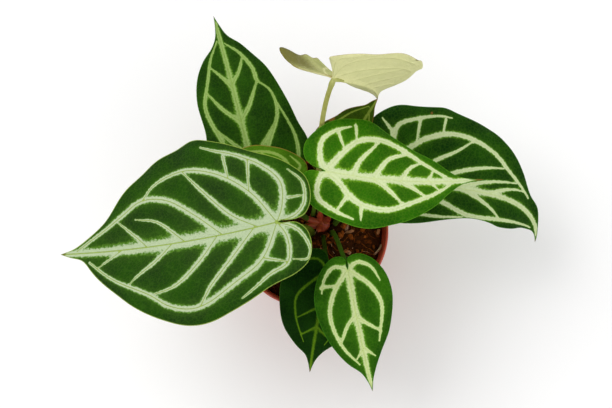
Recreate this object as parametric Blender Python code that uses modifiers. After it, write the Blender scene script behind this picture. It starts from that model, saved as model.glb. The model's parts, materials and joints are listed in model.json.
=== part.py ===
"""Anthurium crystallinum in a thin plastic nursery pot.

The origin is the middle of the pot's base and +Z is up. The named sizes are millimetres and
degrees, as a gardener would measure them, and are turned into Blender's metres by MM. Every leaf
is one grown piece: a blade that bends, folds and ripples, with a keel under its midrib, and the
stalk that carries it up from the soil.
"""
import math

import bmesh
import bpy
from mathutils import Matrix, Vector, noise

MM = 0.001
GAP = 0.3

# The pot, and the soil in it.
POT_HEIGHT = 108.0
RIM_RADIUS = 60.0
RIM_BAND = 9.0
RIM_WALL = 2.2
SHOULDER_RADIUS = 57.2
FOOT_RADIUS = 43.0
POT_WALL = 1.4
FLOOR_WALL = 1.6
DRAIN_RADIUS = 4.0
DRAIN_RING = 24.0
DRAIN_COUNT = 6
DRAIN_TURN = 0.37
RIM_ROUND = 0.6
BAND_STEP = 1.5
FOOT_ROUND = 1.5
POT_SIDES = 40
HOLE_SIDES = 12
SOIL_LEVEL = 98.0
SOIL_LUMP = 1.8
SOIL_GRAIN = 90.0
SOIL_RINGS = 6
SOIL_SIDES = 32
SOIL_EDGE_WIDTH = 1.5
SOIL_EDGE_DEPTH = 4.0

# The crown, which is the short stem that all the leaf stalks come from.
CROWN_PLACE = (9.0, 6.0)
CROWN_RADIUS = 6.0
CROWN_RISE = 11.0
CROWN_DOME = 4.0
ROOT_DEPTH = 14.0
SHEATH_LENGTH = 21.0
SHEATH_RADIUS = 3.4
SHEATH_TIP = 0.3
SHEATH_START = 5.5
SHEATHS = ((193.0, 12.0), (248.0, 30.0), (20.0, 42.0))

# What every blade shares.
BLADE_THICK = 0.8
KEEL_THICK = 2.6
KEEL_INSIDE = 1.7
RIPPLE_START = 0.35
RIPPLE_INNER = 0.3
SPINE_SHARE = 0.92
CURVE_STEPS = 6

# Each leaf. place is where the blade meets its stalk. heading is the way the midrib runs, swung
# by sweep along its length and by hook near the tip. pitch, roll and fold are at the stalk end,
# and droop turns each half down towards its margin. Right is the side to the right of someone
# who looks along the midrib from the stalk to the tip. The margins run from the notch between
# the lobes, round each half, to just before the tip, as across and along in a flattened blade.
LEAVES = {
    "leaf_left_large": dict(
        place=(-23.8, -10.6, 192.0), length=168.6,
        heading=193.2, sweep=-15.7, hook=0.0, pitch=(-8.0, -24.0), roll=(0.0, 0.0),
        fold=(17.0, 7.0), droop=(-22.0, -26.0), ripple=1.5, waves=5.3, phase=0.4,
        left=((-1.4, -3), (-3.4, -13), (-11, -19.5), (-22, -21), (-33, -17), (-40, -6),
              (-46, 15), (-57, 40), (-62.3, 65), (-55, 87), (-43, 107), (-30, 123.4),
              (-15, 139.5), (-6, 149), (-3, 159.6)),
        right=((0.8, -3), (-0.8, -13), (1.7, -21.5), (11, -27.2), (25.9, -27.4), (38, -18.5),
               (48, -6), (60.3, 16), (72, 40), (75, 56), (70, 72), (60, 93), (47, 110),
               (27, 126.5), (11.7, 143), (3.9, 156)),
        root=(1.4, -0.8), lean=(-4, -2, 46), hang=(9, 3, -40), stalk=2.3),
    "leaf_right_upper": dict(
        place=(10.2, 28.8, 182.0), length=122.1,
        heading=-10.6, sweep=21.6, hook=0.0, pitch=(-4.0, -22.0), roll=(0.0, 0.0),
        fold=(14.0, 14.0), droop=(-30.0, -30.0), ripple=1.1, waves=4.2, phase=1.3,
        left=((-0.9, -3), (-2.3, -10), (-7, -16.3), (-16, -18.2), (-28, -12), (-38, -0.5),
              (-43, 16), (-42, 30), (-34, 46), (-24, 62), (-18, 77), (-9.2, 90.3),
              (-4, 100), (-1.4, 110.4)),
        right=((0.8, -3), (1.7, -10.7), (6, -15.5), (15, -16), (25, -8), (31, 4), (36, 20),
               (37.1, 36), (33, 51), (27, 66), (18, 81), (9.2, 92), (3.5, 101.5),
               (1, 110)),
        root=(12.8, 15.5), lean=(0, 2, 34), hang=(-3, -3, -30), stalk=2.0),
    "leaf_right_lower": dict(
        place=(59.5, 42.4, 122.0), length=152.0,
        heading=-20.0, sweep=42.0, hook=-128.0, pitch=(8.0, -48.0), roll=(-8.0, 0.0),
        fold=(8.0, 12.0), droop=(-28.0, -28.0), ripple=1.2, waves=4.6, phase=2.2,
        left=((-0.8, -3), (-2.5, -12), (-9, -20), (-21, -25), (-33, -26), (-43, -21), (-52, -11),
              (-56.5, 6), (-59.5, 23), (-61, 38), (-56, 60), (-49, 81), (-41, 90), (-25, 103),
              (-12, 115), (-9, 123), (-4.5, 131), (-1.5, 139)),
        right=((0.8, -3), (2.5, -12), (9, -19), (20, -20), (31, -12), (36.5, 2), (36, 16),
               (32.5, 30), (26, 49), (22, 66), (22.5, 84), (23, 97), (20, 111), (9.5, 131),
               (3.5, 139.5)),
        root=(19.2, 6.9), lean=(6, 2, 12), hang=(-18, -9, -12), stalk=2.0),
    "leaf_back_left": dict(
        place=(-40.2, 26.7, 142.0), length=146.9,
        heading=103.2, sweep=2.2, hook=0.0, pitch=(10.0, -22.0), roll=(0.0, 0.0),
        fold=(10.0, 10.0), droop=(-26.0, -26.0), ripple=1.2, waves=4.4, phase=0.9,
        left=((-0.8, -3), (-2, -10), (-8, -17), (-19, -19), (-29, -11), (-34, 3),
              (-33, 22), (-28.5, 46), (-29.3, 72), (-25.5, 91), (-17.5, 104.5),
              (-8.8, 115.2), (-3.5, 124.7), (-1, 137)),
        right=((0.8, -3), (2, -9), (9, -15), (20, -15.5), (30, -8), (38, 5), (46, 24),
               (41.5, 42), (38, 58), (34, 74), (27, 92), (16, 111), (6.6, 123), (2.5, 136)),
        root=(-0.9, 8.6), lean=(-5, 1, 20), hang=(16, -9, -18), stalk=2.0),
    "leaf_back_low": dict(
        place=(17.0, 45.5, 126.0), length=65.0,
        heading=55.0, sweep=4.0, hook=0.0, pitch=(12.0, -12.0), roll=(0.0, 0.0),
        fold=(10.0, 10.0), droop=(-24.0, -24.0), ripple=0.8, waves=3.2, phase=0.2,
        left=((-0.7, -2.5), (-1.8, -7), (-6, -9.5), (-13, -8.5), (-21, -2), (-26, 9), (-27, 18),
              (-24.5, 26), (-20, 34.5), (-16.5, 42), (-10, 50), (-5.5, 55), (-3, 60)),
        right=((0.7, -2.5), (1.8, -7), (5.5, -9), (11, -6.5), (14.5, 2), (15, 14),
               (13.5, 26), (9.5, 38), (4.5, 51), (1.8, 57)),
        root=(17.4, 11.9), lean=(0, 3, 10), hang=(0, -9, -8), stalk=1.6),
    "leaf_hidden_left": dict(
        place=(-13.5, 30.0, 163.0), length=60.0,
        heading=166.0, sweep=0.0, hook=0.0, pitch=(2.0, -14.0), roll=(0.0, 0.0),
        fold=(8.0, 8.0), droop=(-20.0, -20.0), ripple=0.7, waves=3.0, phase=0.5,
        left=((-0.7, -2.5), (-1.8, -7), (-6, -10), (-13, -8), (-17.5, 1), (-18.5, 13),
              (-16, 29), (-9.5, 44), (-3, 54)),
        right=((0.7, -2.5), (1.8, -7), (6, -10), (12, -7), (16.5, 2), (18, 14),
               (16.5, 30), (10, 44), (3, 54)),
        root=(2.0, 13.5), lean=(4, 2, 60), hang=(14, -3, -7), stalk=1.6),
    "leaf_front_upper": dict(
        place=(27.0, -37.7, 152.0), length=96.5,
        heading=-80.1, sweep=5.5, hook=0.0, pitch=(-12.0, -34.0), roll=(0.0, 0.0),
        fold=(12.0, 12.0), droop=(-26.0, -26.0), ripple=0.8, waves=3.6, phase=1.9,
        left=((-0.7, -2.5), (-0.7, -7.5), (-4.1, -9.7), (-11, -9.8), (-19.5, -4.5),
              (-27, 7), (-29.5, 20), (-27.5, 35), (-22.5, 49), (-13.2, 65.4), (-7, 76),
              (-2.8, 86)),
        right=((0.7, -2.5), (0.6, -7), (4.1, -10), (11, -9.4), (20.6, -0.7), (27, 12),
               (28.7, 24), (26.5, 40), (21.5, 55), (13, 69.5), (5, 79.5), (1.7, 88)),
        root=(16.6, -0.8), lean=(1, -4, 34), hang=(-3, 12, -8), stalk=1.7),
    "leaf_front_lower": dict(
        place=(13.0, -35.2, 128.0), length=80.6,
        heading=-103.2, sweep=5.6, hook=0.0, pitch=(-8.0, -34.0), roll=(0.0, 0.0),
        fold=(10.0, 10.0), droop=(-26.0, -26.0), ripple=0.8, waves=3.4, phase=0.7,
        left=((-0.7, -2.5), (-1.5, -8), (-7, -13), (-16, -12.5), (-25, -4), (-30, 9),
              (-30.5, 24), (-26, 39), (-17, 52.5), (-7.5, 62.5), (-2.8, 70)),
        right=((0.7, -2.5), (1.5, -9), (7, -14.5), (15.4, -13.5), (25, -6), (31.5, 6),
               (33, 18), (30, 34), (24, 48), (14, 58.5), (5.5, 65.5), (2.4, 72)),
        root=(9.9, -4.2), lean=(0, -3, 12), hang=(-1, 11, -9), stalk=1.6),
    "leaf_young_pale": dict(
        place=(15.1, 82.0, 238.0), length=110.2,
        heading=9.3, sweep=34.8, hook=0.0, pitch=(-52.2, -85.7), roll=(87.8, 59.4),
        fold=(22.2, 13.5), droop=(38.0, -21.1), ripple=0.8, waves=3.6, phase=2.6,
        left=((-0.8, -2.5), (-2.5, -9), (-10, -17), (-22, -20), (-33, -18), (-43.5, -13), (-42, 0),
              (-42, 16), (-43.5, 36), (-44, 56), (-42, 72), (-37, 84), (-29, 91), (-20, 92.5),
              (-11, 92), (-6, 93), (-3, 98)),
        right=((0.8, -2.5), (4, -6), (9.5, -14), (15, -23), (20.5, -30), (24, -23), (30, -16.5),
               (36, -11), (43, -1), (50, 9), (51.5, 20), (49, 33), (46, 46), (40, 61),
               (31, 77), (22, 87), (14, 90.5), (8, 91), (4.5, 92.5), (2, 99)),
        root=(7.2, 16.0), lean=(-2, 34, 46), hang=(-9, -6, -58), stalk=1.9),
}
ACROSS_STEPS = 3
MARGIN_STEP = 9.0
STALK_STEPS = 11
STALK_SUNK = 15.0
STALK_RISE = 0.2
STALK_UPRIGHT = 3.5
STALK_TAPER = (0.45, 0.72, 0.9)


def paint(thing, name, colour, roughness, metallic=0.0):
    """Give the object a material of its own."""
    material = bpy.data.materials.new(name)
    material.use_nodes = True
    shader = material.node_tree.nodes["Principled BSDF"]
    shader.inputs["Base Color"].default_value = (*colour, 1.0)
    shader.inputs["Roughness"].default_value = roughness
    shader.inputs["Metallic"].default_value = metallic
    thing.data.materials.clear()
    thing.data.materials.append(material)


def keep(thing, name, collection):
    """Name the object and put it in one collection only."""
    thing.name = name
    thing.data.name = name
    for old in list(thing.users_collection):
        old.objects.unlink(thing)
    collection.objects.link(thing)
    return thing


def boolean(thing, cutter, operation):
    """Join or cut with another closed mesh, left as a live modifier."""
    modifier = thing.modifiers.new(cutter.name, "BOOLEAN")
    modifier.operation = operation
    modifier.object = cutter
    modifier.solver = "EXACT"


def apply_all(thing):
    """Swap the object's mesh for the one its modifiers make."""
    graph = bpy.context.evaluated_depsgraph_get()
    finished = bpy.data.meshes.new_from_object(thing.evaluated_get(graph))
    thing.modifiers.clear()
    thing.data = finished


def turned(profile, name, steps):
    """Turn a profile that starts and ends on the axis, given in millimetres, round +Z."""
    mesh = bpy.data.meshes.new(name)
    points = [(radius * MM, 0.0, height * MM) for radius, height in profile]
    edges = [(i, i + 1) for i in range(len(points) - 1)]
    mesh.from_pydata(points, edges, [])
    thing = bpy.data.objects.new(name, mesh)
    bpy.context.scene.collection.objects.link(thing)
    screw = thing.modifiers.new("Turn", "SCREW")
    screw.steps = steps
    screw.render_steps = steps
    screw.use_merge_vertices = True
    screw.merge_threshold = 0.00001
    return thing


def pot(collection, cutters):
    """Thin moulded pot with a stiff band under its rim and drain holes round its floor."""
    band_foot = POT_HEIGHT - RIM_BAND
    wall_slope = (SHOULDER_RADIUS - FOOT_RADIUS) / band_foot
    inner_floor = FOOT_RADIUS + FLOOR_WALL * wall_slope - POT_WALL
    inner_rim = RIM_RADIUS - RIM_WALL
    profile = (
        (0.0, FLOOR_WALL), (inner_floor, FLOOR_WALL),
        (SHOULDER_RADIUS - POT_WALL, band_foot - BAND_STEP),
        (inner_rim, band_foot + BAND_STEP), (inner_rim, POT_HEIGHT - RIM_ROUND),
        (inner_rim + RIM_ROUND, POT_HEIGHT), (RIM_RADIUS - RIM_ROUND, POT_HEIGHT),
        (RIM_RADIUS, POT_HEIGHT - RIM_ROUND), (RIM_RADIUS - RIM_ROUND, band_foot + RIM_ROUND),
        (SHOULDER_RADIUS, band_foot), (FOOT_RADIUS + FOOT_ROUND * wall_slope, FOOT_ROUND),
        (FOOT_RADIUS - FOOT_ROUND, 0.0), (0.0, 0.0))
    thing = keep(turned(profile, "pot", POT_SIDES), "pot", collection)
    for number in range(DRAIN_COUNT):
        angle = math.tau * (number + DRAIN_TURN) / DRAIN_COUNT
        bpy.ops.mesh.primitive_cylinder_add(
            vertices=HOLE_SIDES, radius=DRAIN_RADIUS * MM, depth=3 * FLOOR_WALL * MM,
            location=(DRAIN_RING * MM * math.cos(angle), DRAIN_RING * MM * math.sin(angle),
                      FLOOR_WALL / 2 * MM))
        hole = keep(bpy.context.object, f"drain_cutter_{number}", cutters)
        boolean(thing, hole, "DIFFERENCE")
    paint(thing, "pot_plastic", (0.36, 0.045, 0.022), 0.42)
    return thing


def soil(collection, cutters):
    """The bark and coir mix as one mass, lumpy on top, with a plain hole for each stem."""
    wall_slope = (SHOULDER_RADIUS - FOOT_RADIUS) / (POT_HEIGHT - RIM_BAND)
    bottom = FLOOR_WALL + GAP
    bottom_radius = FOOT_RADIUS + bottom * wall_slope - POT_WALL - 2 * GAP
    sunk_radius = bottom_radius + (SOIL_LEVEL - SOIL_EDGE_DEPTH - bottom) * wall_slope
    top_radius = sunk_radius - SOIL_EDGE_WIDTH
    profile = [(top_radius * ring / SOIL_RINGS, SOIL_LEVEL) for ring in range(SOIL_RINGS + 1)]
    profile += [(sunk_radius, SOIL_LEVEL - SOIL_EDGE_DEPTH), (bottom_radius, bottom),
                (0.0, bottom)]
    thing = keep(turned(profile, "soil", SOIL_SIDES), "soil", collection)
    apply_all(thing)
    for vertex in thing.data.vertices:
        inside = vertex.co.xy.length < (top_radius - SOIL_EDGE_WIDTH) * MM
        if inside and vertex.co.z > (SOIL_LEVEL - SOIL_EDGE_DEPTH) * MM:
            vertex.co.z += SOIL_LUMP * MM * noise.noise(vertex.co * SOIL_GRAIN)
    stems = [(leaf["root"], leaf["stalk"]) for leaf in LEAVES.values()]
    stems.append((CROWN_PLACE, CROWN_RADIUS))
    for number, (place, radius) in enumerate(stems):
        hole_radius = (radius + GAP) / math.cos(math.pi / HOLE_SIDES)
        bpy.ops.mesh.primitive_cylinder_add(
            vertices=HOLE_SIDES, radius=hole_radius * MM, depth=2 * (ROOT_DEPTH + GAP) * MM,
            location=(place[0] * MM, place[1] * MM, SOIL_LEVEL * MM))
        hole = keep(bpy.context.object, f"stem_cutter_{number}", cutters)
        boolean(thing, hole, "DIFFERENCE")
    paint(thing, "potting_mix", (0.075, 0.035, 0.018), 0.95)
    return thing


def crown(collection):
    """Short upright stem with the papery red sheaths that wrapped its last leaves."""
    foot = SOIL_LEVEL - ROOT_DEPTH
    top = SOIL_LEVEL + CROWN_RISE
    profile = ((0.0, top), (CROWN_RADIUS / 2, top - CROWN_DOME / 5),
               (CROWN_RADIUS * 0.87, top - CROWN_DOME), (CROWN_RADIUS, top - 2 * CROWN_DOME),
               (CROWN_RADIUS, foot), (0.0, foot))
    thing = keep(turned(profile, "crown", HOLE_SIDES), "crown", collection)
    apply_all(thing)
    sheaths = bpy.data.collections.new("sheaths")
    bpy.context.scene.collection.children.link(sheaths)
    for heading, rise in SHEATHS:
        bpy.ops.mesh.primitive_cone_add(
            vertices=8, radius1=SHEATH_RADIUS * MM, radius2=SHEATH_TIP * MM,
            depth=SHEATH_LENGTH * MM)
        sheath = keep(bpy.context.object, f"sheath_{heading:.0f}", sheaths)
        turn = Matrix.Rotation(math.radians(heading), 4, "Z")
        tip = Matrix.Rotation(math.radians(90.0 - rise), 4, "Y")
        out = Matrix.Translation((0.0, 0.0, SHEATH_LENGTH / 2 * MM))
        start = Matrix.Translation((0.0, 0.0, (SOIL_LEVEL + SHEATH_START) * MM))
        sheath.data.transform(start @ turn @ tip @ out)
    joined = thing.modifiers.new("Sheaths", "BOOLEAN")
    joined.operation = "UNION"
    joined.operand_type = "COLLECTION"
    joined.collection = sheaths
    joined.solver = "EXACT"
    apply_all(thing)
    for sheath in list(sheaths.objects):
        bpy.data.objects.remove(sheath)
    bpy.data.collections.remove(sheaths)
    thing.location = (CROWN_PLACE[0] * MM, CROWN_PLACE[1] * MM, 0.0)
    paint(thing, "sheath_red", (0.33, 0.07, 0.03), 0.6)
    return thing


def curve_through(points, per_span):
    """A smooth line through the points, as a centripetal Catmull-Rom spline."""
    line = [Vector(point) for point in points]
    line = [2 * line[0] - line[1]] + line + [2 * line[-1] - line[-2]]
    smooth = []
    for first, a, b, last in zip(line, line[1:], line[2:], line[3:]):
        times = [0.0]
        for one, two in ((first, a), (a, b), (b, last)):
            times.append(times[-1] + max((two - one).length, 1e-6) ** 0.5)
        for step in range(per_span):
            time = times[1] + (times[2] - times[1]) * step / per_span
            level = [first, a, b, last]
            for reach in (1, 2, 3):
                lower, upper = (0, reach) if reach < 3 else (1, 2)
                level = [
                    level[i].lerp(level[i + 1], (time - times[lower + i]) /
                                  (times[upper + i] - times[lower + i]))
                    for i in range(len(level) - 1)]
            smooth.append(level[0])
    smooth.append(line[-2])
    return smooth


def evenly(line, count):
    """Points at equal steps along a line of points."""
    travelled = [0.0]
    for a, b in zip(line, line[1:]):
        travelled.append(travelled[-1] + (b - a).length)
    spaced = []
    piece = 0
    for step in range(count + 1):
        target = travelled[-1] * step / count
        while piece < len(line) - 2 and travelled[piece + 1] < target:
            piece += 1
        span = max(travelled[piece + 1] - travelled[piece], 1e-9)
        spaced.append(line[piece].lerp(line[piece + 1], (target - travelled[piece]) / span))
    return spaced


class Bend:
    """Carries a point of the flattened blade, in millimetres, to its place in the plant."""

    STEPS = 48

    def __init__(self, leaf):
        self.leaf = leaf
        self.frames = []
        here = Vector(leaf["place"])
        stride = leaf["length"] / self.STEPS
        before = None
        for step in range(self.STEPS + 1):
            share = step / self.STEPS
            frame = self.frame(share)
            if before is not None:
                here = here + (before + frame[0]) * (stride / 2)
            before = frame[0]
            self.frames.append((here, *frame))

    def frame(self, share):
        """The way along, across and up from the midrib at a share of its length."""
        leaf = self.leaf
        pitch = math.radians(leaf["pitch"][0] + (leaf["pitch"][1] - leaf["pitch"][0]) * share)
        turn = math.radians(leaf["heading"] + leaf["sweep"] * share + leaf["hook"] * share ** 4)
        roll = math.radians(leaf["roll"][0] + (leaf["roll"][1] - leaf["roll"][0]) * share)
        along = Vector((math.cos(pitch) * math.cos(turn), math.cos(pitch) * math.sin(turn),
                        math.sin(pitch)))
        level = Vector((math.sin(turn), -math.cos(turn), 0.0))
        raised = level.cross(along)
        across = level * math.cos(roll) + raised * math.sin(roll)
        up = raised * math.cos(roll) - level * math.sin(roll)
        return along, across, up

    def at(self, across, along, depth=0.0, edge=0.0):
        """The place of a flat point; edge is 1 at the margin, where the ripple is full."""
        leaf = self.leaf
        share = min(max(along / leaf["length"], 0.0), 1.0)
        step = min(int(share * self.STEPS), self.STEPS - 1)
        mix = share * self.STEPS - step
        here, way, side, up = (a.lerp(b, mix) for a, b in zip(*self.frames[step:step + 2]))
        here = here + way * (along - share * leaf["length"])
        half = 0 if across < 0 else 1
        fold = math.radians(leaf["fold"][half])
        width = max(abs(point[0]) for point in leaf[("left", "right")[half]])
        curl = math.radians(leaf["droop"][half]) / width
        out = abs(across)
        reach = (math.sin(fold + curl * out) - math.sin(fold)) / curl
        rise = (math.cos(fold) - math.cos(fold + curl * out)) / curl
        wave = math.sin(math.tau * (leaf["waves"] * along / leaf["length"] + half / 2)
                        + leaf["phase"])
        start = max(0.0, (edge - RIPPLE_START) / (1.0 - RIPPLE_START))
        rise += leaf["ripple"] * wave * start ** 2 * min(1.0, out / (RIPPLE_INNER * width))
        return here + side * (math.copysign(reach, across)) + up * (rise - depth)


def blade(leaf, name):
    """The blade as a thin shell, with a keel below its midrib, from a grid bent to its form.

    The grid's middle line lies along the midrib, or on the stalk's end for the rows of the
    lobes, and its two sides lie on the margins.
    """
    margins = []
    rows = 0
    for side in ("left", "right"):
        points = [(x, y, 0.0) for x, y in leaf[side]] + [(0.0, leaf["length"], 0.0)]
        line = curve_through(points, CURVE_STEPS)
        length = sum((b - a).length for a, b in zip(line, line[1:]))
        rows = max(rows, round(length / MARGIN_STEP))
        margins.append(line)
    margins = [evenly(line, rows) for line in margins]
    bpy.ops.mesh.primitive_grid_add(x_subdivisions=2 * ACROSS_STEPS, y_subdivisions=rows, size=2.0)
    thing = bpy.context.object
    bend = Bend(leaf)
    keel = thing.vertex_groups.new(name="keel")
    for vertex in thing.data.vertices:
        row = round((vertex.co.y + 1.0) / 2.0 * rows)
        share = abs(vertex.co.x)
        rim = margins[0 if vertex.co.x < 0 else 1][row]
        other = margins[1 if vertex.co.x < 0 else 0][row]
        spine = Vector((0.0, max(0.0, (rim.y + other.y) / 2), 0.0))
        if row == rows:
            spine = Vector((0.0, leaf["length"], 0.0))
        else:
            spine.y = spine.y * SPINE_SHARE
        flat = spine.lerp(rim, share)
        vertex.co = bend.at(flat.x, flat.y, 0.0, share) * MM
        thickness = BLADE_THICK + (KEEL_THICK - BLADE_THICK) * (share < 0.01) * (row < rows - 1)
        keel.add([vertex.index], thickness / KEEL_THICK, "REPLACE")
    shape = bmesh.new()
    shape.from_mesh(thing.data)
    bmesh.ops.remove_doubles(shape, verts=shape.verts[:], dist=0.00005)
    bmesh.ops.dissolve_degenerate(shape, dist=0.00001, edges=shape.edges[:])
    bmesh.ops.triangulate(shape, faces=shape.faces[:], quad_method="SHORT_EDGE")
    bmesh.ops.recalc_face_normals(shape, faces=shape.faces[:])
    middle = bend.frame(0.5)[2]
    if sum((face.normal.dot(middle) for face in shape.faces)) < 0:
        bmesh.ops.reverse_faces(shape, faces=shape.faces[:])
    shape.to_mesh(thing.data)
    shape.free()
    shell = thing.modifiers.new("Shell", "SOLIDIFY")
    shell.thickness = KEEL_THICK * MM
    shell.offset = -1.0
    shell.vertex_group = "keel"
    shell.thickness_vertex_group = 0.0
    thing.name = name
    return thing


def stalk(leaf, name):
    """The stalk, from its root in the soil up to where it ends inside the blade's keel."""
    bend = Bend(leaf)
    root = Vector((*leaf["root"], SOIL_LEVEL + STALK_UPRIGHT))
    top = bend.at(0.0, 0.0, KEEL_INSIDE)
    one = root + Vector(leaf["lean"])
    two = top + Vector(leaf["hang"])
    points = [root - Vector((0.0, 0.0, ROOT_DEPTH - GAP + STALK_UPRIGHT))]
    for step in range(STALK_STEPS + 1):
        t = step / STALK_STEPS
        points.append(root * (1 - t) ** 3 + one * 3 * t * (1 - t) ** 2
                      + two * 3 * t * t * (1 - t) + top * t ** 3)
    points.append(bend.at(0.0, STALK_SUNK / 2, KEEL_INSIDE))
    points.append(bend.at(0.0, STALK_SUNK, KEEL_INSIDE - STALK_RISE))
    data = bpy.data.curves.new(name, "CURVE")
    data.dimensions = "3D"
    data.bevel_depth = leaf["stalk"] * MM
    data.bevel_resolution = 2
    data.use_fill_caps = True
    line = data.splines.new("POLY")
    line.points.add(len(points) - 1)
    for number, (spot, point) in enumerate(zip(line.points, points)):
        spot.co = (*(point * MM), 1.0)
        left = len(points) - 1 - number
        spot.radius = STALK_TAPER[left] if left < len(STALK_TAPER) else 1.0
    curve = bpy.data.objects.new(name, data)
    bpy.context.scene.collection.objects.link(curve)
    graph = bpy.context.evaluated_depsgraph_get()
    mesh = bpy.data.meshes.new_from_object(curve.evaluated_get(graph))
    shape = bmesh.new()
    shape.from_mesh(mesh)
    bmesh.ops.remove_doubles(shape, verts=shape.verts[:], dist=0.00001)
    shape.to_mesh(mesh)
    shape.free()
    thing = bpy.data.objects.new(name, mesh)
    bpy.context.scene.collection.objects.link(thing)
    thing.matrix_world = curve.matrix_world
    bpy.data.objects.remove(curve)
    return thing


def grown_leaf(name, collection):
    """One leaf with its stalk, joined in one body."""
    leaf = LEAVES[name]
    thing = keep(blade(leaf, name), name, collection)
    apply_all(thing)
    stem = stalk(leaf, name + "_stalk")
    boolean(thing, stem, "UNION")
    apply_all(thing)
    bpy.data.objects.remove(stem)
    thing.vertex_groups.clear()
    if name == "leaf_young_pale":
        paint(thing, "young_leaf", (0.55, 0.57, 0.26), 0.55)
    else:
        paint(thing, "leaf_green", (0.035, 0.12, 0.02), 0.5)
    return thing


def main():
    """Clear the file, then build the pot, the soil, the crown and every leaf."""
    for old in list(bpy.data.objects):
        bpy.data.objects.remove(old)
    scene = bpy.context.scene
    plant = bpy.data.collections.new("anthurium_crystallinum")
    cutters = bpy.data.collections.new("cutters")
    scene.collection.children.link(plant)
    scene.collection.children.link(cutters)
    pot(plant, cutters)
    soil(plant, cutters)
    crown(plant)
    for name in LEAVES:
        grown_leaf(name, plant)
    for cutter in cutters.objects:
        cutter.hide_render = True
        cutter.display_type = "WIRE"
    for thing in plant.objects:
        thing.data.shade_smooth()
        thing.data.set_sharp_from_angle(angle=math.radians(40.0))


main()
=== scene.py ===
import json
import math
import random

import bmesh
import bpy
import numpy as np
from mathutils import Matrix, Vector, noise
from mathutils.geometry import delaunay_2d_cdt

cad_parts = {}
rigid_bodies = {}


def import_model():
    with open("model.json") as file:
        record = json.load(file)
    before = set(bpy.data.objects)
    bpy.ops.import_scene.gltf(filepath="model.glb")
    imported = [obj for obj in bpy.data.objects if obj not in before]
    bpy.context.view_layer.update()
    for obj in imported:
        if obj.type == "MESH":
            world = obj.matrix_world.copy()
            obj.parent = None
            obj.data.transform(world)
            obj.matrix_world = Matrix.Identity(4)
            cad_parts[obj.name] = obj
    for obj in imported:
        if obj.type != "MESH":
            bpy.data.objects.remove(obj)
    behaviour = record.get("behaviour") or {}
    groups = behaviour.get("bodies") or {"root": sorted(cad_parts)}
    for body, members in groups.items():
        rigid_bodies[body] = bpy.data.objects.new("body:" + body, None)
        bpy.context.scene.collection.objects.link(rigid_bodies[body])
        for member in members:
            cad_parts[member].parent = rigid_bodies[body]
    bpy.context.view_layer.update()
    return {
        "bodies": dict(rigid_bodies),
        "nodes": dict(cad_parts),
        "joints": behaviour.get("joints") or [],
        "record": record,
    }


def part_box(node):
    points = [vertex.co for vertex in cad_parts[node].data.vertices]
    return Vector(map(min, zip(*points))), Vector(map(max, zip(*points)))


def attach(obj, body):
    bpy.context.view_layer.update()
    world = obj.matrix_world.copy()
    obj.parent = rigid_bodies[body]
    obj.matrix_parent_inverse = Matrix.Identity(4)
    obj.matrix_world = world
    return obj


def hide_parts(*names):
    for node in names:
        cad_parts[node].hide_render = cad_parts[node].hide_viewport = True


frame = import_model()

# Floor, camera and lights.
# A plain pale floor under the pot, soft daylight from all round and two large soft lamps. The
# camera looks down on the crown from in front, as the photograph does.
MM = 0.001
CAMERA_AIM = Vector((-3.4, 20.2, 108.0)) * MM
CAMERA_DISTANCE = 1.0
CAMERA_ELEVATION = math.radians(78.0)
CAMERA_LENS = 76.2

bpy.ops.object.select_all(action="DESELECT")
bpy.ops.mesh.primitive_plane_add(size=6.0, location=(0.0, 0.0, 0.0))
floor = bpy.context.object
floor.name = "floor"
floor_material = bpy.data.materials.new("pale_floor")
floor_material.use_nodes = True
floor_shader = floor_material.node_tree.nodes["Principled BSDF"]
floor_shader.inputs["Base Color"].default_value = (0.93, 0.93, 0.93, 1.0)
floor_shader.inputs["Roughness"].default_value = 0.9
floor.data.materials.append(floor_material)

camera = bpy.data.objects.new("camera", bpy.data.cameras.new("camera"))
bpy.context.scene.collection.objects.link(camera)
camera.data.lens = CAMERA_LENS
camera.data.clip_start = 0.01
toward = Vector((0.0, math.cos(CAMERA_ELEVATION), -math.sin(CAMERA_ELEVATION)))
camera.location = CAMERA_AIM - toward * CAMERA_DISTANCE
camera.rotation_euler = (math.pi / 2 - CAMERA_ELEVATION, 0.0, 0.0)
bpy.context.scene.camera = camera

world = bpy.data.worlds.new("daylight")
bpy.context.scene.world = world
world.use_nodes = True
world.node_tree.nodes["Background"].inputs["Color"].default_value = (1.0, 1.0, 1.0, 1.0)
world.node_tree.nodes["Background"].inputs["Strength"].default_value = 0.78
for lamp_name, place, size, power in (("key_lamp", (-0.9, 0.5, 1.7), 1.1, 15.0),
                                      ("fill_lamp", (1.0, -1.0, 1.2), 1.4, 6.0)):
    lamp = bpy.data.objects.new(lamp_name, bpy.data.lights.new(lamp_name, "AREA"))
    bpy.context.scene.collection.objects.link(lamp)
    lamp.data.size = size
    lamp.data.energy = power
    lamp.location = place
    lamp.rotation_euler = (CAMERA_AIM - lamp.location).to_track_quat("-Z", "Y").to_euler()
bpy.context.scene.view_settings.view_transform = "Standard"

# The pot.
# A thin terracotta-red plastic nursery pot, moulded in one piece: a tapered wall, a stiff band
# under its rim, a ribbed foot and drain holes. It is turned from its profile.
POT_SIDES = 160
DRAIN_RING = 24.0
DRAIN_RADIUS = 4.0
pot_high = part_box("pot")[1]
POT_RADIUS = pot_high.x / MM
POT_HEIGHT = pot_high.z / MM
BAND_DEPTH = 9.0
LIP_RADIUS = 1.1
DRAIN_COUNT = 6
DRAIN_TURN = 0.37
FOOT_RADIUS = 43.0
SHOULDER_RADIUS = 57.2


def node(tree, kind, **values):
    """Add a shader node and set its properties."""
    made = tree.nodes.new(kind)
    for key, value in values.items():
        setattr(made, key, value)
    return made


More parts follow.
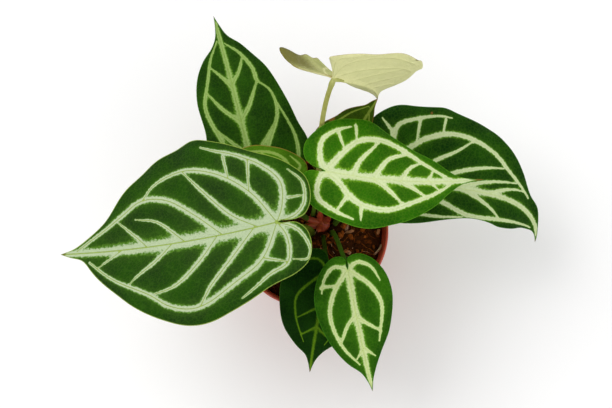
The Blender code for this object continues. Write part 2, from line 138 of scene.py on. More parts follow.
def finish_material(name, roughness, metallic=0.0):
    """A new node material and its surface shader."""
    material = bpy.data.materials.new(name)
    material.use_nodes = True
    shader = material.node_tree.nodes["Principled BSDF"]
    shader.inputs["Roughness"].default_value = roughness
    shader.inputs["Metallic"].default_value = metallic
    return material, material.node_tree, shader


def grain(tree, scale, detail=3.0, rough=0.55):
    """A noise pattern on the piece's own coordinates."""
    spot = node(tree, "ShaderNodeTexCoord")
    pattern = node(tree, "ShaderNodeTexNoise")
    pattern.inputs["Scale"].default_value = scale
    pattern.inputs["Detail"].default_value = detail
    pattern.inputs["Roughness"].default_value = rough
    tree.links.new(spot.outputs["Object"], pattern.inputs["Vector"])
    return pattern.outputs["Fac"]


def ramp(tree, value, stops):
    """Colours along a value, as (place, (red, green, blue))."""
    band = node(tree, "ShaderNodeValToRGB")
    points = band.color_ramp.elements
    while len(points) < len(stops):
        points.new(0.5)
    for point, (place, colour) in zip(points, stops):
        point.position = place
        point.color = (*colour, 1.0)
    tree.links.new(value, band.inputs["Fac"])
    return band.outputs["Color"]


def blend_colours(tree, mask, under, over):
    """One colour over another where the mask is 1."""
    mix = node(tree, "ShaderNodeMix", data_type="RGBA")
    tree.links.new(mask, mix.inputs["Factor"])
    for source, socket in ((under, mix.inputs[6]), (over, mix.inputs[7])):
        if isinstance(source, tuple):
            socket.default_value = (*source, 1.0)
        else:
            tree.links.new(source, socket)
    return mix.outputs[2]


def bumps(tree, shader, height, depth):
    """Let a height pattern, in metres of depth, shade the surface."""
    bump = node(tree, "ShaderNodeBump")
    bump.inputs["Strength"].default_value = 1.0
    bump.inputs["Distance"].default_value = depth
    tree.links.new(height, bump.inputs["Height"])
    tree.links.new(bump.outputs["Normal"], shader.inputs["Normal"])


def turned(profile, name, steps):
    """Turn a profile, in millimetres, round the upright axis into a closed mesh."""
    bpy.ops.object.select_all(action="DESELECT")
    mesh = bpy.data.meshes.new(name)
    mesh.from_pydata([(radius * MM, 0.0, height * MM) for radius, height in profile],
                     [(i, i + 1) for i in range(len(profile) - 1)], [])
    thing = bpy.data.objects.new(name, mesh)
    bpy.context.scene.collection.objects.link(thing)
    bpy.context.view_layer.objects.active = thing
    thing.select_set(True)
    screw = thing.modifiers.new("Turn", "SCREW")
    screw.steps = steps
    screw.render_steps = steps
    screw.merge_threshold = 0.00001
    screw.use_merge_vertices = True
    bpy.ops.object.modifier_apply(modifier="Turn")
    return thing


def smooth(thing, angle):
    """Shade round faces smooth and keep the edges that turn by more than the angle."""
    bpy.ops.object.select_all(action="DESELECT")
    thing.select_set(True)
    bpy.context.view_layer.objects.active = thing
    bpy.ops.object.shade_smooth_by_angle(angle=math.radians(angle))


def adopt(thing, slot, *nodes):
    """The piece rides on the plant and stands for its CAD nodes; the slot is not used."""
    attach(thing, "root")
    if nodes:
        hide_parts(*nodes)


band_low = POT_HEIGHT - BAND_DEPTH
lip = [(POT_RADIUS - LIP_RADIUS + LIP_RADIUS * math.sin(a),
        POT_HEIGHT - LIP_RADIUS + LIP_RADIUS * math.cos(a))
       for a in (math.radians(step * 90 / 5) for step in range(-5, 6))]
pot_profile = [(0.0, 2.2), (30.0, 1.6), (41.6, 1.6), (42.2, 2.4), (55.8, band_low - 1.0),
               (56.4, band_low + 0.2), (57.5, band_low + 1.4), (57.8, POT_HEIGHT - 2.2)]
pot_profile += lip
pot_profile += [(POT_RADIUS - 0.15, POT_HEIGHT - 3.0), (POT_RADIUS - 0.5, band_low + 0.7),
                (POT_RADIUS - 0.9, band_low + 0.1), (SHOULDER_RADIUS + 0.2, band_low),
                (SHOULDER_RADIUS - 0.1, band_low - 0.5), (FOOT_RADIUS + 1.9, 12.0),
                (FOOT_RADIUS + 0.8, 11.2), (FOOT_RADIUS + 0.45, 2.2), (FOOT_RADIUS - 0.2, 0.5),
                (FOOT_RADIUS - 1.2, 0.0), (FOOT_RADIUS - 5.0, 0.0), (FOOT_RADIUS - 6.0, 0.6),
                (0.0, 0.6)]
pot = turned(pot_profile, "pot_moulded", POT_SIDES)
for number in range(DRAIN_COUNT):
    turn = math.tau * (number + DRAIN_TURN) / DRAIN_COUNT
    bpy.ops.mesh.primitive_cylinder_add(
        vertices=32, radius=DRAIN_RADIUS * MM, depth=8 * MM,
        location=(DRAIN_RING * MM * math.cos(turn), DRAIN_RING * MM * math.sin(turn), 0.0))
    drain = bpy.context.object
    bpy.context.view_layer.objects.active = pot
    cut = pot.modifiers.new("Drain", "BOOLEAN")
    cut.object = drain
    cut.operation = "DIFFERENCE"
    bpy.ops.object.modifier_apply(modifier="Drain")
    bpy.data.objects.remove(drain)
smooth(pot, 35.0)

plastic, tree, shader = finish_material("terracotta_plastic", 0.4)
cloudy = ramp(tree, grain(tree, 34.0, 5.0), [(0.25, (0.36, 0.036, 0.012)),
                                             (0.55, (0.47, 0.056, 0.020)),
                                             (0.85, (0.56, 0.088, 0.036))])
dusty = ramp(tree, grain(tree, 160.0, 6.0, 0.7), [(0.55, (0.0, 0.0, 0.0)), (0.75, (0.5, 0.5, 0.5))])
tree.links.new(blend_colours(tree, dusty, cloudy, (0.42, 0.16, 0.10)), shader.inputs["Base Color"])
scuffs = ramp(tree, grain(tree, 90.0, 4.0), [(0.3, (0.34, 0.34, 0.34)), (0.8, (0.55, 0.55, 0.55))])
tree.links.new(scuffs, shader.inputs["Roughness"])
bumps(tree, shader, grain(tree, 900.0, 2.0), 0.00004)
pot.data.materials.append(plastic)
adopt(pot, "pot_plastic", "pot")

# The potting mix.
# Dark composted bark and coir, damp, a little below the rim. It is a lumpy bed with loose chips,
# crumbs and fibres lying on it, all sitting in the bed.
SOIL_LEVEL = 98.0
SOIL_RADIUS = 55.2
CHIP_COUNT = 620
FIBRE_COUNT = 150
BED_RINGS = 74
BED_SIDES = 190
CROWN_X = 9.0
CROWN_Y = 6.0
pick = random.Random(11)


def tube(name, path, thick, sides, kind="POLY"):
    """A closed round tube along a path of places and shares of its thickness."""
    data = bpy.data.curves.new(name, "CURVE")
    data.dimensions = "3D"
    data.bevel_depth = thick * MM
    data.bevel_resolution = sides
    data.use_fill_caps = True
    line = data.splines.new(kind)
    line.points.add(len(path) - 1)
    for dot, (spot, size) in zip(line.points, path):
        dot.co = (*(spot * MM), 1.0)
        dot.radius = size
    if kind == "NURBS":
        line.use_endpoint_u = True
        line.order_u = 3
        line.resolution_u = 8
    curve = bpy.data.objects.new(name, data)
    bpy.context.scene.collection.objects.link(curve)
    mesh = bpy.data.meshes.new_from_object(curve)
    bpy.data.objects.remove(curve)
    thing = bpy.data.objects.new(name, mesh)
    bpy.context.scene.collection.objects.link(thing)
    return thing


def paint(thing, title, value):
    """Give all of a piece one value that its finish reads."""
    layer = thing.data.attributes.new(title, "FLOAT", "POINT")
    layer.data.foreach_set("value", [value] * len(thing.data.vertices))


def join(whole, pieces):
    """Make loose pieces part of one whole, shaded smooth."""
    bpy.ops.object.select_all(action="DESELECT")
    for piece in [whole, *pieces]:
        piece.select_set(True)
    bpy.context.view_layer.objects.active = whole
    bpy.ops.object.join()
    whole.data.shade_smooth()


def soil_height(x, y):
    """The bed's height in millimetres at a place in millimetres."""
    spot = Vector((x, y, 0.0))
    lumps = noise.noise(spot * 0.09) * 1.7 + noise.noise(spot * 0.31) * 0.9
    edge = max(0.0, math.hypot(x, y) - 49.0) / 6.0
    return SOIL_LEVEL + lumps + noise.noise(spot * 0.9) * 0.5 - 1.6 * edge ** 2


bed_profile = [(SOIL_RADIUS * ring / BED_RINGS, SOIL_LEVEL) for ring in range(BED_RINGS + 1)]
bed_profile += [(54.6, 92.0), (42.0, 2.2), (0.0, 2.2)]
bed = turned(bed_profile, "potting_mix", BED_SIDES)
for vertex in bed.data.vertices:
    if vertex.co.z > (SOIL_LEVEL - 1.0) * MM:
        vertex.co.z = soil_height(vertex.co.x / MM, vertex.co.y / MM) * MM
bpy.ops.object.select_all(action="DESELECT")
loose = []
for number in range(CHIP_COUNT):
    reach = 53.5 * math.sqrt(pick.random())
    turn = math.tau * pick.random()
    x, y = reach * math.cos(turn), reach * math.sin(turn)
    if math.hypot(x - CROWN_X, y - CROWN_Y) < 8.0:
        continue
    large = pick.random() ** 2.2
    length = 1.3 + 6.5 * large
    width = length * pick.uniform(0.35, 0.75)
    bpy.ops.mesh.primitive_cube_add(size=1.0)
    chip = bpy.context.object
    chip.data.name = "chip"
    shape = bmesh.new()
    shape.from_mesh(chip.data)
    bmesh.ops.subdivide_edges(shape, edges=shape.edges[:], cuts=1, use_grid_fill=True)
    for corner in shape.verts:
        corner.co *= 1.0 - 0.22 * (corner.co.length > 0.6)
        corner.co += Vector([pick.uniform(-0.11, 0.11) for _ in range(3)])
    size = Matrix.Diagonal((length * MM, width * MM, width * pick.uniform(0.3, 0.6) * MM, 1.0))
    tilt = (Matrix.Rotation(math.tau * pick.random(), 4, "Z")
            @ Matrix.Rotation(pick.gauss(0.0, 0.4), 4, "Y")
            @ Matrix.Rotation(pick.gauss(0.0, 0.4), 4, "X"))
    place = Matrix.Translation((x * MM, y * MM, (soil_height(x, y) + 0.12 * width) * MM))
    shape.transform(place @ tilt @ size)
    shape.to_mesh(chip.data)
    shape.free()
    paint(chip, "tint", pick.random())
    loose.append(chip)
for number in range(FIBRE_COUNT):
    reach = 52.0 * math.sqrt(pick.random())
    turn = math.tau * pick.random()
    x, y = reach * math.cos(turn), reach * math.sin(turn)
    way = math.tau * pick.random()
    points = []
    for step in range(9):
        height = soil_height(x, y) + 0.5 + 0.9 * math.sin(step * 0.8) * pick.random()
        points.append(Vector((x, y, height)))
        way += pick.gauss(0.0, 0.28)
        x += 1.5 * math.cos(way)
        y += 1.5 * math.sin(way)
    if math.hypot(x, y) > 54.0 or math.hypot(x - CROWN_X, y - CROWN_Y) < 9.0:
        continue
    fibre = tube("fibre", [(point, 1.0) for point in points], pick.uniform(0.12, 0.3), 1)
    paint(fibre, "tint", pick.uniform(0.6, 1.0))
    loose.append(fibre)
for spots, thick, shade in ((((49.9, -17.4, 98.6), (51.2, -16.2, 100.6), (53.0, -14.3, 101.4),
                              (54.3, -12.3, 100.9), (54.6, -10.5, 98.8)), 0.85, 1.0),
                            (((52.0, -1.6, 99.0), (52.6, -0.2, 100.4), (53.1, 1.4, 99.2)), 1.3, 0.93),
                            (((-38.0, -24.0, 98.6), (-32.0, -27.0, 100.6), (-25.0, -28.0, 99.6)),
                             0.7, 0.97),
                            (((34.0, 28.0, 98.6), (38.0, 31.0, 100.8), (43.0, 31.0, 99.0)), 0.6, 0.96)):
    root_line = tube("loose_root", [(Vector(spot), 1.0) for spot in spots], thick, 3, "NURBS")
    paint(root_line, "tint", shade)
    loose.append(root_line)
paint(bed, "tint", 0.2)
join(bed, loose)

mix_material, tree, shader = finish_material("bark_and_coir", 0.9)
shader.inputs["Specular IOR Level"].default_value = 0.1
tint = node(tree, "ShaderNodeAttribute", attribute_name="tint")
chips = ramp(tree, tint.outputs["Fac"], [(0.0, (0.028, 0.009, 0.001)), (0.35, (0.12, 0.028, 0.003)),
                                         (0.65, (0.34, 0.075, 0.008)), (0.9, (0.62, 0.16, 0.02)),
                                         (1.0, (0.85, 0.50, 0.30))])
crumbs = ramp(tree, grain(tree, 620.0, 6.0, 0.7), [(0.35, (0.15, 0.15, 0.15)), (0.7, (1.0, 1.0, 1.0))])
darken = node(tree, "ShaderNodeMix", data_type="RGBA", blend_type="MULTIPLY")
darken.inputs["Factor"].default_value = 0.8
tree.links.new(chips, darken.inputs[6])
tree.links.new(crumbs, darken.inputs[7])
tree.links.new(darken.outputs[2], shader.inputs["Base Color"])
bumps(tree, shader, grain(tree, 1100.0, 5.0, 0.7), 0.0006)
bed.data.materials.append(mix_material)
adopt(bed, "potting_mix", "soil")

# The crown.
# The short upright stem, ringed where old leaves came off, with the papery reddish sheaths that
# wrapped the newest leaves. The stem is turned, and each sheath is a curled tapering shell.
CROWN_PLACE = Vector((CROWN_X, CROWN_Y, 0.0)) * MM
CROWN_TOP = 106.5
STEM_FOOT = 85.0
STEM_RINGS = 9
RING_PITCH = 2.0
SHEATH_RISE = 6.5
SHEATH_THICK = 0.35
stem_profile = [(0.0, CROWN_TOP), (1.4, CROWN_TOP - 0.4), (2.8, CROWN_TOP - 1.6),
                (4.4, CROWN_TOP - 2.6)]
for ring in range(STEM_RINGS):
    height = CROWN_TOP - 3.5 - ring * RING_PITCH
    stem_profile += [(5.5, height), (5.95, height - 0.9)]
stem_profile += [(5.8, STEM_FOOT), (0.0, STEM_FOOT)]
crown = turned(stem_profile, "crown_stem", 48)
crown.data.transform(Matrix.Translation(CROWN_PLACE))
sheaths = []
for heading, rise, length, width, curl in ((196.0, 16.0, 20.0, 2.6, -0.3), (250.0, 44.0, 13.0, 2.4, 0.1),
                                           (165.0, 20.0, 19.0, 2.2, -0.2), (20.0, 58.0, 15.0, 2.2, 0.15),
                                           (110.0, 62.0, 15.0, 2.2, 0.12)):
    bpy.ops.object.select_all(action="DESELECT")
    bpy.ops.mesh.primitive_grid_add(x_subdivisions=14, y_subdivisions=30, size=2.0)
    sheath = bpy.context.object
    for vertex in sheath.data.vertices:
        across = vertex.co.x
        along = (vertex.co.y + 1.0) / 2.0
        half = width * (1.0 - along ** 2.2) ** 0.8 * (0.75 + 0.35 * math.sin(math.pi * along))
        wrap = across * (1.9 - 0.9 * along)
        out = 2.0 + along * length
        lift = half * (1.0 - math.cos(wrap)) * -0.9 + curl * length * along ** 2
        ruffle = 0.08 * math.sin(7.0 * along + 2.0 * across)
        vertex.co = Vector((out, half * math.sin(wrap), lift + ruffle)) * MM
    sheath.data.transform(
        Matrix.Translation(CROWN_PLACE + Vector((0.0, 0.0, (SOIL_LEVEL + SHEATH_RISE) * MM)))
        @ Matrix.Rotation(math.radians(heading), 4, "Z")
        @ Matrix.Rotation(-math.radians(rise), 4, "Y"))
    shell = sheath.modifiers.new("Shell", "SOLIDIFY")
    shell.thickness = SHEATH_THICK * MM
    bpy.ops.object.modifier_apply(modifier="Shell")
    sheaths.append(sheath)
join(crown, sheaths)
sheath_material, tree, shader = finish_material("papery_sheath", 0.55)
streak = node(tree, "ShaderNodeTexCoord")
squeeze = node(tree, "ShaderNodeMapping")
squeeze.inputs["Scale"].default_value = (40.0, 260.0, 260.0)
tree.links.new(streak.outputs["Object"], squeeze.inputs["Vector"])
streaks = node(tree, "ShaderNodeTexNoise")
streaks.inputs["Scale"].default_value = 1.0
streaks.inputs["Detail"].default_value = 4.0
tree.links.new(squeeze.outputs["Vector"], streaks.inputs["Vector"])
papery = ramp(tree, streaks.outputs["Fac"], [(0.25, (0.20, 0.020, 0.006)), (0.5, (0.42, 0.050, 0.014)),
                                             (0.72, (0.52, 0.110, 0.024)), (0.92, (0.62, 0.30, 0.06))])
tree.links.new(papery, shader.inputs["Base Color"])
bumps(tree, shader, streaks.outputs["Fac"], 0.0001)
crown.data.materials.append(sheath_material)
adopt(crown, "sheath", "crown")

# The big leaf at the left.
# One grown piece: a thin velvety blade, hung from its stalk by a short swollen knee. Broad silver
# bands run along sunken veins, the midrib stands out below as a keel, and the margin ripples.
BLADE_THICK = 0.8
KEEL_THICK = 2.6
RIPPLE_START = 0.35
STALK_SUNK = 15.0
STALK_UPRIGHT = 3.5
STALK_FOOT = 13.7
NET_STEP = 2.0
VEIN_STEP = 1.5
VEIN_SIDE = 0.8
VEIN_TAPER = 0.3
TAPER_LATE = 2.5
LINK_START = 0.5
LINK_GROWTH = 0.055
MIDRIB_THREAD = 0.55
VEIN_THREAD = 0.34
WEBBING = 2.7
GROOVE_WIDTH = 0.9
GROOVE_DEPTH = 0.16
RIB_WIDTH = 0.8
RIB_HEIGHT = 0.45
KEEL_WIDTH = 1.5
MARGIN_THIN = 0.45
MARGIN_WIDTH = 1.2
STALK_STEPS = 44
KNEE_SWELL = 0.22
FAR = 40.0


def tone(red, green, blue):
    """A colour as seen on a screen, from 0 to 255, as light."""
    return tuple((part / 255.0) ** 2.2 for part in (red, green, blue))


def curve_through(points, per_span):
    """A smooth line through the points, as a centripetal Catmull-Rom spline."""
    line = [Vector(point) for point in points]
    line = [2 * line[0] - line[1]] + line + [2 * line[-1] - line[-2]]
    soft = []
    for first, a, b, last in zip(line, line[1:], line[2:], line[3:]):
        times = [0.0]
        for one, two in ((first, a), (a, b), (b, last)):
            times.append(times[-1] + max((two - one).length, 1e-6) ** 0.5)
        for step in range(per_span):
            time = times[1] + (times[2] - times[1]) * step / per_span
            level = [first, a, b, last]
            for reach in (1, 2, 3):
                lower, upper = (0, reach) if reach < 3 else (1, 2)
                level = [level[i].lerp(level[i + 1], (time - times[lower + i])
                                       / (times[upper + i] - times[lower + i]))
                         for i in range(len(level) - 1)]
            soft.append(level[0])
    soft.append(line[-2])
    return soft


def evenly(line, step):
    """Points about a step apart along a line of points."""
    travelled = [0.0]
    for a, b in zip(line, line[1:]):
        travelled.append(travelled[-1] + (b - a).length)
    count = max(1, round(travelled[-1] / step))
    spaced = []
    piece = 0
    for number in range(count + 1):
        target = travelled[-1] * number / count
        while piece < len(line) - 2 and travelled[piece + 1] < target:
            piece += 1
        span = max(travelled[piece + 1] - travelled[piece], 1e-9)
        spaced.append(line[piece].lerp(line[piece + 1], (target - travelled[piece]) / span))
    return spaced


class Bend:
    """Carries a point of the flattened blade, in millimetres, to its place in the plant."""

    STEPS = 48

    def __init__(self, leaf):
        self.leaf = leaf
        self.frames = []
        self.widths = [max(abs(x) for x, y in leaf[side]) for side in ("left", "right")]
        here = Vector(leaf["place"])
        stride = leaf["length"] / self.STEPS
        before = None
        for step in range(self.STEPS + 1):
            frame = self.frame(step / self.STEPS)
            if before is not None:
                here = here + (before + frame[0]) * (stride / 2)
            before = frame[0]
            self.frames.append((here, *frame))

    def frame(self, share):
        """The way along, across and up from the midrib at a share of its length."""
        leaf = self.leaf
        pitch = math.radians(leaf["pitch"][0] + (leaf["pitch"][1] - leaf["pitch"][0]) * share)
        turn = math.radians(leaf["heading"] + leaf["sweep"] * share + leaf["hook"] * share ** 4)
        roll = math.radians(leaf["roll"][0] + (leaf["roll"][1] - leaf["roll"][0]) * share)
        along = Vector((math.cos(pitch) * math.cos(turn), math.cos(pitch) * math.sin(turn),
                        math.sin(pitch)))
        level = Vector((math.sin(turn), -math.cos(turn), 0.0))
        raised = level.cross(along)
        across = level * math.cos(roll) + raised * math.sin(roll)
        up = raised * math.cos(roll) - level * math.sin(roll)
        return along, across, up

    def at(self, across, along, depth=0.0, edge=0.0):
        """The place of a flat point; edge is 1 at the margin, where the ripple is full."""
        leaf = self.leaf
        share = min(max(along / leaf["length"], 0.0), 1.0)
        step = min(int(share * self.STEPS), self.STEPS - 1)
        mix = share * self.STEPS - step
        here, way, side, up = (a.lerp(b, mix) for a, b in zip(*self.frames[step:step + 2]))
        here = here + way * (along - share * leaf["length"])
        half = 0 if across < 0 else 1
        fold = math.radians(leaf["fold"][half])
        width = self.widths[half]
        curl = math.radians(leaf["droop"][half]) / width
        out = abs(across)
        reach = (math.sin(fold + curl * out) - math.sin(fold)) / curl
        rise = (math.cos(fold) - math.cos(fold + curl * out)) / curl
        wave = math.sin(math.tau * (leaf["waves"] * along / leaf["length"] + half / 2)
                        + leaf["phase"])
        start = max(0.0, (edge - RIPPLE_START) / (1.0 - RIPPLE_START))
        rise += leaf["ripple"] * wave * start ** 2 * min(1.0, out / (0.3 * width))
        return here + side * (math.copysign(reach, across)) + up * (rise - depth)


def distance(spots, line, spread=None):
    """How far each flat spot is from a line of points, over the line's spread if it has one."""
    near = np.full(len(spots), 1e6)
    for number in range(len(line) - 1):
        a = np.array(line[number].xy)
        b = np.array(line[number + 1].xy)
        span = b - a
        share = np.clip(((spots - a) @ span) / max(span @ span, 1e-9), 0.0, 1.0)
        gap = np.linalg.norm(spots - a - share[:, None] * span, axis=1)
        if spread is not None:
            place = (number + share) / (len(line) - 1)
            gap = gap / (spread[0] + (spread[1] - spread[0]) * place ** TAPER_LATE)
        near = np.minimum(near, gap)
    return near


def within(spots, line):
    """Which flat spots lie inside a closed line of points."""
    inside = np.zeros(len(spots), dtype=bool)
    for a, b in zip(line, line[1:] + line[:1]):
        crosses = (spots[:, 1] < a.y) != (spots[:, 1] < b.y)
        rise = b.y - a.y if abs(b.y - a.y) > 1e-12 else 1e-12
        meets = a.x + (spots[:, 1] - a.y) / rise * (b.x - a.x)
        inside ^= crosses & (spots[:, 0] < meets)
    return inside


def grow_blade(leaf, name):
    """The blade as a closed mesh whose small triangles follow its margin and its veins."""
    length = leaf["length"]
    sides = [evenly(curve_through([(x, y, 0.0) for x, y in leaf[side]] + [(0.0, length, 0.0)], 6),
                    NET_STEP) for side in ("left", "right")]
    margin = [Vector((0.0, 0.0, 0.0))] + sides[1] + sides[0][-2::-1]
    veins = [(evenly([Vector((0.0, 0.0, 0.0)), Vector((0.0, length - 1.0, 0.0))], VEIN_STEP),
              leaf["midrib"], MIDRIB_THREAD)]
    for spread, points in leaf["veins"]:
        line = evenly(curve_through([(x, y, 0.0) for x, y in points], 6), VEIN_STEP)
        spread = min(spread, LINK_START + LINK_GROWTH * VEIN_STEP * len(line))
        veins.append((line, (spread, spread * VEIN_TAPER), VEIN_THREAD))
    spots = [point.xy for point in margin]
    edges = [(i, (i + 1) % len(margin)) for i in range(len(margin))]
    for line, spread, width in veins:
        first = len(spots)
        spots += [point.xy for point in line]
        edges += [(first + i, first + i + 1) for i in range(len(line) - 1)]
    free = []
    for line, spread, width in veins:
        for a, b in zip(line, line[1:]):
            middle = (a + b) / 2
            away = Vector((a.y - b.y, b.x - a.x, 0.0)).normalized() * VEIN_SIDE
            free += [(middle + away)[:2], (middle - away)[:2]]
    spread_x = max(abs(x) for side in ("left", "right") for x, y in leaf[side]) + 2.0
    base = min(y for side in ("left", "right") for x, y in leaf[side]) - 2.0
    row = 0
    height = base
    while height < length:
        across = -spread_x + (row % 2) * NET_STEP / 2
        while across < spread_x:
            free.append((across, height))
            across += NET_STEP
        height += NET_STEP * 0.866
        row += 1
    free = np.array(free)
    clear = distance(free, margin + margin[:1])
    for line, spread, width in veins:
        clear = np.minimum(clear, distance(free, line))
    free = free[(clear > 0.7) & within(free, margin)]
    spots += [Vector(spot) for spot in free]
    net = delaunay_2d_cdt(spots, edges, [], 0, 0.0001, False)
    middles = np.array([tuple(sum((net[0][corner] for corner in face), Vector((0.0, 0.0))) / 3)
                        for face in net[2]])
    inner = within(middles, margin)
    faces = [face for face, kept in zip(net[2], inner) if kept]
    used = sorted({corner for face in faces for corner in face})
    place = {old: new for new, old in enumerate(used)}
    flat = np.array([tuple(net[0][old]) for old in used])
    faces = [tuple(place[corner] for corner in face) for face in faces]

    rim = distance(flat, margin + margin[:1])
    band = np.zeros(len(flat))
    thread = np.full(len(flat), 1e6)
    bare = np.full(len(flat), 1e6)
    for line, spread, width in veins:
        band += np.maximum(distance(flat, line, spread), 0.05) ** -WEBBING
        gap = distance(flat, line)
        bare = np.minimum(bare, gap)
        thread = np.minimum(thread, gap / width)
    band = band ** (-1.0 / WEBBING)
    burnt_and_shaded = np.zeros(len(flat))
    # Patches that take the dried colour: dried tips and spots, and on the young leaf one wide patch of
    # painted shade over its left lobe.
    for x, y, reach in leaf["browned_and_shaded"]:
        burnt_and_shaded = np.maximum(burnt_and_shaded, 1.0 - np.hypot(flat[:, 0] - x, flat[:, 1] - y) / reach)
    bend = Bend(leaf)
    count = len(flat)
    corners = []
    for layer in (0, 1):
        for number, (x, y) in enumerate(flat):
            edge = abs(x) / (abs(x) + rim[number] + 1e-6)
            puff = min(1.0, bare[number] / 6.0)
            puff = puff * puff * (3.0 - 2.0 * puff) * min(1.0, rim[number] / 4.0)
            groove = math.exp(-(bare[number] / GROOVE_WIDTH) ** 2) * GROOVE_DEPTH
            depth = groove - leaf["puff"] * puff
            if layer:
                keel = math.exp(-(x / KEEL_WIDTH) ** 2) * max(0.0, 1.0 - max(y, 0.0) / (length * 1.05))
                rib = math.exp(-(bare[number] / RIB_WIDTH) ** 2) * RIB_HEIGHT
                thin = MARGIN_THIN * math.exp(-rim[number] / MARGIN_WIDTH)
                depth += BLADE_THICK - thin + rib + (KEEL_THICK - BLADE_THICK) * keel
            corners.append(bend.at(x, y, depth, edge) * MM)
    sides_used = {}
    for face in faces:
        for a, b in zip(face, face[1:] + face[:1]):
            sides_used[(a, b)] = True
    hem = [(b, a, a + count, b + count) for a, b in sides_used if (b, a) not in sides_used]
    under = [tuple(corner + count for corner in reversed(face)) for face in faces]
    mesh = bpy.data.meshes.new(name)
    mesh.from_pydata(corners, [], faces + under + hem)
    blade = bpy.data.objects.new(name, mesh)
    bpy.context.scene.collection.objects.link(blade)
    shape = bmesh.new()
    shape.from_mesh(mesh)
    bmesh.ops.recalc_face_normals(shape, faces=shape.faces[:])
    shape.to_mesh(mesh)
    shape.free()
    for title, values in (("band", band), ("thread", thread), ("rim", rim), ("burnt_and_shaded", burnt_and_shaded)):
        layer = mesh.attributes.new(title, "FLOAT", "POINT")
        layer.data.foreach_set("value", np.tile(np.clip(values, 0.0, 50.0), 2))
    layer = mesh.attributes.new("under", "FLOAT", "POINT")
    layer.data.foreach_set("value", np.repeat((0.0, 1.0), count))
    layer = mesh.attributes.new("stem", "FLOAT", "POINT")
    layer.data.foreach_set("value", np.zeros(2 * count))
    layer = mesh.attributes.new("flat", "FLOAT_VECTOR", "POINT")
    spots = np.zeros((2 * count, 3))
    spots[:, :2] = np.tile(flat, (2, 1))
    layer.data.foreach_set("vector", spots.ravel())
    return blade


def grow_stalk(leaf, name):
    """The stalk, from its foot in the soil up to where it ends inside the blade's keel."""
    bend = Bend(leaf)
    root = Vector((*leaf["root"], SOIL_LEVEL + STALK_UPRIGHT))
    top = bend.at(0.0, 0.0, leaf["stalk"] + 0.6)
    one = root + Vector(leaf["lean"])
    two = top + Vector(leaf["hang"])
    path = [(root - Vector((0.0, 0.0, STALK_FOOT + STALK_UPRIGHT)), 1.12),
            (root - Vector((0.0, 0.0, 4.0 + STALK_UPRIGHT)), 1.12)]
    for step in range(STALK_STEPS + 1):
        t = step / STALK_STEPS
        spot = (root * (1 - t) ** 3 + one * 3 * t * (1 - t) ** 2
                + two * 3 * t * t * (1 - t) + top * t ** 3)
        left = (top - spot).length
        knee = KNEE_SWELL * math.exp(-((left - 7.0) / 5.0) ** 2)
        path.append((spot, 1.05 - 0.13 * t + knee))
    for along, size in ((2.5, 0.86), (5.0, 0.78), (7.5, 0.7), (11.0, 0.58), (STALK_SUNK, 0.36)):
        path.append((bend.at(0.0, along, leaf["stalk"] * size + 0.55), size))
    stalk = tube(name, path, leaf["stalk"], 5)
    mesh = stalk.data
    for title, value in (("band", FAR), ("thread", FAR), ("rim", FAR), ("burnt_and_shaded", 0.0),
                         ("under", 0.0)):
        paint(stalk, title, value)
    layer = mesh.attributes.new("stem", "FLOAT", "POINT")
    layer.data.foreach_set("value", [min(1.0, max(0.15, ((vertex.co / MM - top).length - 3.0) / 12.0))
                                     for vertex in mesh.vertices])
    layer = mesh.attributes.new("flat", "FLOAT_VECTOR", "POINT")
    layer.data.foreach_set("vector", [part / MM for vertex in mesh.vertices
                                      for part in vertex.co])
    return stalk


def soft_step(tree, value, low, high):
    """1 below the low value, 0 above the high one, and smooth between."""
    step = node(tree, "ShaderNodeMapRange", interpolation_type="SMOOTHSTEP")
    tree.links.new(value, step.inputs["Value"])
    for socket, limit in (("From Min", low), ("From Max", high)):
        if isinstance(limit, float):
            step.inputs[socket].default_value = limit
        else:
            tree.links.new(limit, step.inputs[socket])
    step.inputs["To Min"].default_value = 1.0
    step.inputs["To Max"].default_value = 0.0
    return step.outputs["Result"]


markings = bpy.data.node_groups.new("leaf_markings", "ShaderNodeTree")
for title in ("Tissue", "Shade", "Silver", "Fringe", "Vein", "Margin", "Back", "Stalk", "Dried_and_shaded"):
    markings.interface.new_socket(title, in_out="INPUT", socket_type="NodeSocketColor")
for title in ("Haze", "Thread"):
    markings.interface.new_socket(title, in_out="INPUT", socket_type="NodeSocketFloat")
markings.interface.new_socket("Colour", in_out="OUTPUT", socket_type="NodeSocketColor")
markings.interface.new_socket("Roughness", in_out="OUTPUT", socket_type="NodeSocketFloat")
markings.interface.new_socket("Height", in_out="OUTPUT", socket_type="NodeSocketFloat")
given = node(markings, "NodeGroupInput")
result = node(markings, "NodeGroupOutput")
reads = {title: node(markings, "ShaderNodeAttribute", attribute_name=title)
         for title in ("band", "thread", "rim", "burnt_and_shaded", "under", "stem", "flat")}


def sums(operation, a, b):
    """A sum of two values, each a socket or a plain number."""
    made = node(markings, "ShaderNodeMath", operation=operation)
    for source, socket in ((a, made.inputs[0]), (b, made.inputs[1])):
        if isinstance(source, float):
            socket.default_value = source
        else:
            markings.links.new(source, socket)
    return made.outputs[0]


def times(a, b):
    """The product of two values."""
    return sums("MULTIPLY", a, b)


def near(title, low, high):
    """1 where a measure painted on the leaf is small, and 0 where it is large."""
    return soft_step(markings, reads[title].outputs["Fac"], low, high)


def over(mask, under, title):
    """One of the leaf's own colours laid over another colour."""
    return blend_colours(markings, mask, under, given.outputs[title])


def pattern(scale, detail, rough=0.5):
    """A noise pattern laid out on the flattened blade."""
    made = node(markings, "ShaderNodeTexNoise")
    made.inputs["Scale"].default_value = scale
    made.inputs["Detail"].default_value = detail
    made.inputs["Roughness"].default_value = rough
    markings.links.new(reads["flat"].outputs["Vector"], made.inputs["Vector"])
    return made.outputs["Fac"]


